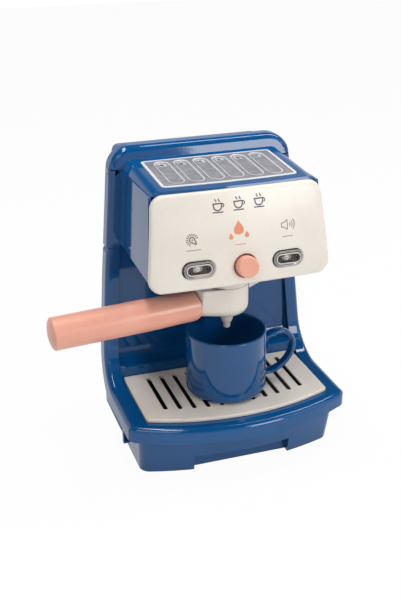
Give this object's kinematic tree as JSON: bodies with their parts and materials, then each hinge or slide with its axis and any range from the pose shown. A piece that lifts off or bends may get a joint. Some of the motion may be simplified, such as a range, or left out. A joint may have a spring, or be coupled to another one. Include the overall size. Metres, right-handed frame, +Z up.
{
  "type": "toy coffee maker",
  "caption": "Play kitchen espresso maker with a pumping button, light and sound buttons, a swinging portafilter, a lift-off tank lid, a drip grille and a loose mug.",
  "frame": {"origin": "middle of the flat underside that stands on the table, below the middle of the tower's width", "axes": "+X to the viewer's right when looking at the front, +Y from the front to the back, +Z up"},
  "size_m": [0.2506, 0.1702, 0.2565],
  "materials": {
    "blue_shell": "glossy moulded",
    "cream_shell": "satin moulded",
    "pink_grip": "satin moulded",
    "clear_lid": "glossy translucent",
    "clear_cap": "glossy clear",
    "black_plastic": "matte moulded",
    "steel": "plain",
    "blue_mug": "glossy moulded",
    "board_green": "solder mask",
    "white_lamp": "clear resin",
    "cell_jacket": "printed jacket",
    "spring_steel": "plain wire"
  },
  "bodies": {
    "frame": {"lower_body": "blue_shell", "upper_housing": "blue_shell", "top_cover": "blue_shell", "rear_cover": "blue_shell", "base_plate": "black_plastic", "battery_door": "black_plastic", "battery_door_screw": "steel", "battery_cells": "cell_jacket", "battery_contacts": "steel", "drip_tray": "black_plastic", "drip_grille": "cream_shell", "front_panel": "cream_shell", "group_collar": "cream_shell", "pump_cylinder": "cream_shell", "steam_spring": "spring_steel", "intake_tube": "clear_cap", "outlet_tube": "clear_cap", "light_spring": "spring_steel", "sound_spring": "spring_steel", "circuit_board": "board_green", "touch_switches": "black_plastic", "button_leds": "white_lamp", "speaker": "black_plastic", "water_tank": "clear_lid", "case_screws": "steel"},
    "steam_button": {"steam_button": "pink_grip", "pump_piston": "black_plastic"},
    "light_button": {"light_button": "clear_cap"},
    "sound_button": {"sound_button": "clear_cap"},
    "portafilter": {"portafilter_cup": "cream_shell", "portafilter_nozzle": "cream_shell", "portafilter_handle": "pink_grip", "handle_screw": "steel"},
    "tank_lid": {"tank_lid": "clear_lid"},
    "mug": {"mug": "blue_mug"}
  },
  "joints": [
    {"name": "steam_press", "type": "slide", "parent": "frame", "child": "steam_button", "axis": [0, 0.9848, -0.1736], "range_m": [0, 0.004], "stiffness_N_per_m": 250, "springref_m": -0.002, "deforming": ["steam_spring"]},
    {"name": "light_press", "type": "slide", "parent": "frame", "child": "light_button", "axis": [0, 0.9848, -0.1736], "range_m": [0, 0.0015], "stiffness_N_per_m": 200, "springref_m": -0.001, "deforming": ["light_spring"]},
    {"name": "sound_press", "type": "slide", "parent": "frame", "child": "sound_button", "axis": [0, 0.9848, -0.1736], "range_m": [0, 0.0015], "stiffness_N_per_m": 200, "springref_m": -0.001, "deforming": ["sound_spring"]},
    {"name": "portafilter_twist", "type": "hinge", "parent": "frame", "child": "portafilter", "pos_m": [0, -0.016, 0.136], "axis": [0, 0, 1], "range_deg": [0, 90]},
    {"name": "tank_lid_lift", "type": "slide", "parent": "frame", "child": "tank_lid", "axis": [0, -0.0499, 0.9988], "range_m": [0, 0.04]},
    {"name": "mug_slide", "type": "slide", "parent": "frame", "child": "mug", "axis": [0, -1, 0], "range_m": [0, 0.12]}
  ]
}
